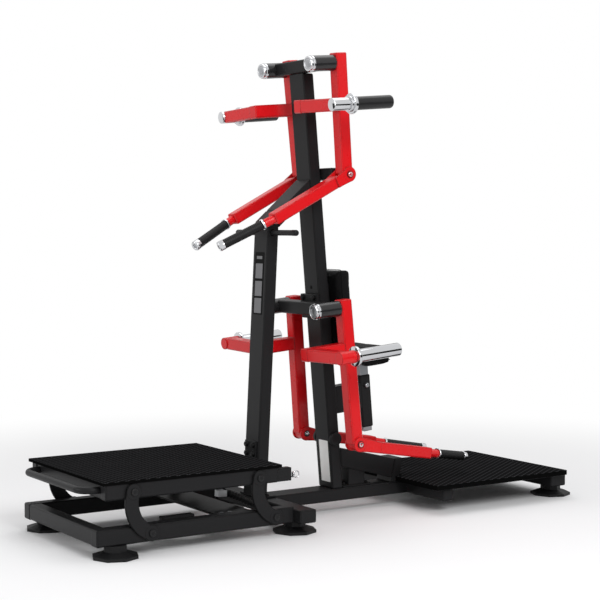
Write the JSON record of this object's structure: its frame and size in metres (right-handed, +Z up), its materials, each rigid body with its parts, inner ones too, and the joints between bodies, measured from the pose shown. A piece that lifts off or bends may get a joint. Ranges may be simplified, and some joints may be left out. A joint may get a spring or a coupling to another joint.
{
  "type": "plate-loaded rear deltoid machine",
  "caption": "Two-station strength machine: leaning column with hinged swing arms, weight horns and hinged grips, a lifting deck, a fixed deck, a head pad and a chest pad on a post.",
  "frame": {"origin": "on the floor, midway along and across the machine", "axes": "+X along the machine from the lifting deck to the fixed deck, +Y across it, +Z up"},
  "size_m": [2.3004, 0.9156, 1.8138],
  "materials": {
    "black_paint": "satin black powder coat",
    "red_paint": "glossy red powder coat",
    "chrome": "polished chrome plate",
    "zinc_steel": "zinc plated steel",
    "black_rubber": "matt black rubber",
    "black_vinyl": "black upholstery vinyl",
    "tread_coating": "black raised-pattern anti-slip tread"
  },
  "bodies": {
    "frame": {"base_spine": "black_paint", "front_base_frame": "black_paint", "front_post": "black_paint", "main_column": "black_paint", "diagonal_brace": "black_paint", "sloping_brace": "black_paint", "hand_bar": "black_paint", "upper_pivot_head": "black_paint", "lower_pivot_head": "black_paint", "upper_pivot_cap_near": "chrome", "upper_pivot_cap_far": "chrome", "lower_pivot_cap_near": "chrome", "lower_pivot_cap_far": "chrome", "upper_stop_bar": "black_paint", "lower_bumper_near": "black_rubber", "lower_bumper_far": "black_rubber", "rear_deck_frame": "black_paint", "rear_deck_tread": "tread_coating", "head_pad": "black_vinyl", "chest_post_sleeve": "black_paint", "deck_strut": "black_paint", "foot_pad_front_near": "black_rubber", "foot_pad_front_far": "black_rubber", "foot_pad_middle_near": "black_rubber", "foot_pad_middle_far": "black_rubber", "foot_pad_rear_near": "black_rubber", "foot_pad_rear_far": "black_rubber"},
    "upper_swing_near": {"upper_arm_near": "red_paint", "upper_horn_core_near": "chrome", "upper_horn_sleeve_near": "black_rubber"},
    "upper_swing_far": {"upper_arm_far": "red_paint", "upper_horn_core_far": "chrome", "upper_horn_sleeve_far": "black_rubber"},
    "lower_swing_near": {"lower_arm_near": "red_paint", "lower_horn_near": "chrome"},
    "lower_swing_far": {"lower_arm_far": "red_paint", "lower_horn_far": "chrome"},
    "upper_handle_near": {"upper_handle_arm_near": "red_paint", "grip_core_upper_near": "chrome", "grip_upper_near": "black_rubber"},
    "upper_handle_far": {"upper_handle_arm_far": "red_paint", "grip_core_upper_far": "chrome", "grip_upper_far": "black_rubber"},
    "lower_handle_near": {"lower_handle_arm_near": "red_paint", "grip_core_lower_near": "chrome", "grip_lower_near": "black_rubber"},
    "lower_handle_far": {"lower_handle_arm_far": "red_paint", "grip_core_lower_far": "chrome", "grip_lower_far": "black_rubber"},
    "front_links": {"front_link_near": "black_paint", "front_link_far": "black_paint"},
    "rear_links": {"rear_link_near": "black_paint", "rear_link_far": "black_paint"},
    "lifting_deck": {"deck_frame": "black_paint", "deck_tread": "tread_coating", "deck_loop_handle": "black_paint"},
    "deck_pin": {"deck_pull_pin": "chrome"},
    "chest_support": {"chest_post_tube": "zinc_steel", "chest_pad": "black_vinyl"},
    "chest_pin": {"chest_lock_pin": "chrome"}
  },
  "joints": [
    {"name": "upper_swing_near_turn", "type": "hinge", "parent": "frame", "child": "upper_swing_near", "pos_m": [-0.15345, -0.168, 1.761], "axis": [-0.9962, 0, -0.0872], "range_deg": [0, 95]},
    {"name": "upper_swing_far_turn", "type": "hinge", "parent": "frame", "child": "upper_swing_far", "pos_m": [-0.15345, 0.168, 1.761], "axis": [0.9962, 0, 0.0872], "range_deg": [0, 95]},
    {"name": "lower_swing_near_turn", "type": "hinge", "parent": "frame", "child": "lower_swing_near", "pos_m": [-0.13425, -0.178, 0.8165], "axis": [-0.9962, 0, -0.0872], "range_deg": [-9.4, 95]},
    {"name": "lower_swing_far_turn", "type": "hinge", "parent": "frame", "child": "lower_swing_far", "pos_m": [-0.13425, 0.178, 0.8165], "axis": [0.9962, 0, 0.0872], "range_deg": [-9.4, 95]},
    {"name": "upper_handle_near_turn", "type": "hinge", "parent": "upper_swing_near", "child": "upper_handle_near", "pos_m": [0.03136, -0.15452, 1.34674], "axis": [-0.0027, 0.9995, 0.0313], "range_deg": [0, 45]},
    {"name": "upper_handle_far_turn", "type": "hinge", "parent": "upper_swing_far", "child": "upper_handle_far", "pos_m": [0.03136, 0.15452, 1.34674], "axis": [0.0027, 0.9995, -0.0313], "range_deg": [0, 45]},
    {"name": "lower_handle_near_turn", "type": "hinge", "parent": "lower_swing_near", "child": "lower_handle_near", "pos_m": [0.05998, -0.18925, 0.29456], "axis": [-0.0018, -0.9998, 0.0209], "range_deg": [0, 45]},
    {"name": "lower_handle_far_turn", "type": "hinge", "parent": "lower_swing_far", "child": "lower_handle_far", "pos_m": [0.05998, 0.18925, 0.29456], "axis": [0.0018, -0.9998, -0.0209], "range_deg": [0, 45]},
    {"name": "front_links_turn", "type": "hinge", "parent": "frame", "child": "front_links", "pos_m": [-0.90675, 0, 0.077], "axis": [0, -1, 0], "range_deg": [0, 30]},
    {"name": "rear_links_turn", "type": "hinge", "parent": "frame", "child": "rear_links", "pos_m": [-0.39475, 0, 0.077], "axis": [0, -1, 0], "range_deg": [0, 30]},
    {"name": "deck_turn", "type": "hinge", "parent": "front_links", "child": "lifting_deck", "pos_m": [-0.97575, 0, 0.228], "axis": [0, -1, 0], "range_deg": [-30, 0]},
    {"name": "deck_pin_pull", "type": "slide", "parent": "lifting_deck", "child": "deck_pin", "axis": [1, 0, 0], "range_m": [0, 0.012], "stiffness_N_per_m": 250, "springref_m": -0.012},
    {"name": "chest_slide", "type": "slide", "parent": "frame", "child": "chest_support", "axis": [-0.0872, 0, 0.9962], "range_m": [-0.03, 0.12]},
    {"name": "chest_pin_pull", "type": "slide", "parent": "frame", "child": "chest_pin", "axis": [0, -1, 0], "range_m": [0, 0.01], "stiffness_N_per_m": 250, "springref_m": -0.01}
  ],
  "couplings": [
    {"joint": "rear_links_turn", "follows": "front_links_turn", "ratio": 1},
    {"joint": "deck_turn", "follows": "front_links_turn", "ratio": -1}
  ]
}
